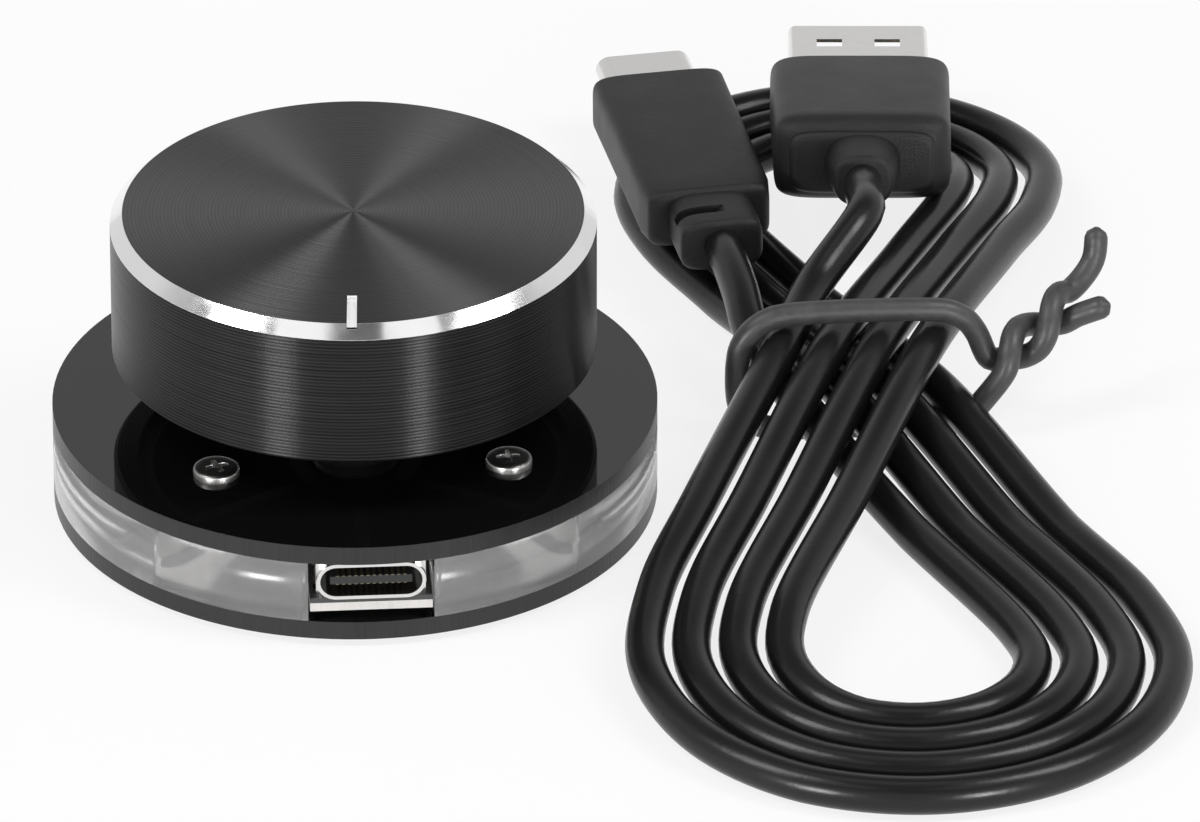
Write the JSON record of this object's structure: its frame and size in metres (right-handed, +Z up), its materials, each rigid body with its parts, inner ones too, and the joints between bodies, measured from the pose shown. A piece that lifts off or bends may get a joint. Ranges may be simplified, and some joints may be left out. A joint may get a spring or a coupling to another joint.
{
  "type": "usb volume control knob",
  "caption": "Desk volume knob: turned black aluminium knob on a push rotary encoder over a round layered base with a side socket, and its tied cable.",
  "frame": {"origin": "on the desk, under the middle of the round base", "axes": "+Z up along the knob's axis, -Y out of the socket, +X towards the tied cable"},
  "size_m": [0.0909, 0.1204, 0.0267],
  "materials": {
    "anodised_black": "turned and anodised, bright bevel",
    "core_plastic": "moulded",
    "steel": "machined",
    "screw_steel": "plated",
    "die_cast": "die cast",
    "white_plastic": "moulded",
    "gilt_contacts": "gilt",
    "brass": "turned",
    "black_acrylic": "polished face, sawn edge",
    "clear_acrylic": "clear, machined edge",
    "pad_rubber": "matt",
    "board_white": "solder mask",
    "chip_black": "moulded",
    "led_white": "moulded",
    "component_brown": "fired",
    "plated_steel": "nickel plated",
    "cord_black": "soft sheath, satin",
    "grip_black": "moulded, fine grain",
    "tie_black": "coated wire, satin"
  },
  "bodies": {
    "base": {"encoder_housing": "core_plastic", "encoder_base": "core_plastic", "socket_insulator": "core_plastic", "c_plug_liner": "core_plastic", "encoder_frame": "steel", "switch_dome": "steel", "detent_spring": "steel", "top_screws": "screw_steel", "bottom_screws": "screw_steel", "encoder_cover": "die_cast", "board_spacers": "white_plastic", "a_plug_tongue": "white_plastic", "encoder_terminals": "gilt_contacts", "socket_contacts": "gilt_contacts", "a_plug_contacts": "gilt_contacts", "standoffs": "brass", "top_plate": "black_acrylic", "bottom_plate": "black_acrylic", "light_ring": "clear_acrylic", "foot_pad": "pad_rubber", "circuit_board": "board_white", "controller_chip": "chip_black", "edge_leds": "led_white", "small_components": "component_brown", "socket_shell": "plated_steel", "c_plug_shell": "plated_steel", "a_plug_shell": "plated_steel", "usb_cable": "cord_black", "c_plug_grip": "grip_black", "a_plug_grip": "grip_black", "twist_tie": "tie_black"},
    "plunger": {"switch_plunger": "white_plastic"},
    "knob": {"knob_cap": "anodised_black", "knob_core": "core_plastic", "encoder_shaft": "steel", "shaft_clip": "steel"},
    "rotor": {"encoder_rotor": "white_plastic", "contact_wiper": "gilt_contacts"}
  },
  "joints": [
    {"name": "knob_press", "type": "slide", "parent": "base", "child": "plunger", "axis": [0, 0, -1], "range_m": [0, 0.0005], "stiffness_N_per_m": 6000, "springref_m": -0.0003, "deforming": ["switch_dome"]},
    {"name": "knob_turn", "type": "hinge", "parent": "plunger", "child": "knob", "pos_m": [0, 0, 0.02], "axis": [0, 0, 1], "continuous": true},
    {"name": "rotor_turn", "type": "hinge", "parent": "base", "child": "rotor", "pos_m": [0, 0, 0.008], "axis": [0, 0, 1], "continuous": true}
  ],
  "couplings": [
    {"joint": "rotor_turn", "follows": "knob_turn", "ratio": 1}
  ]
}
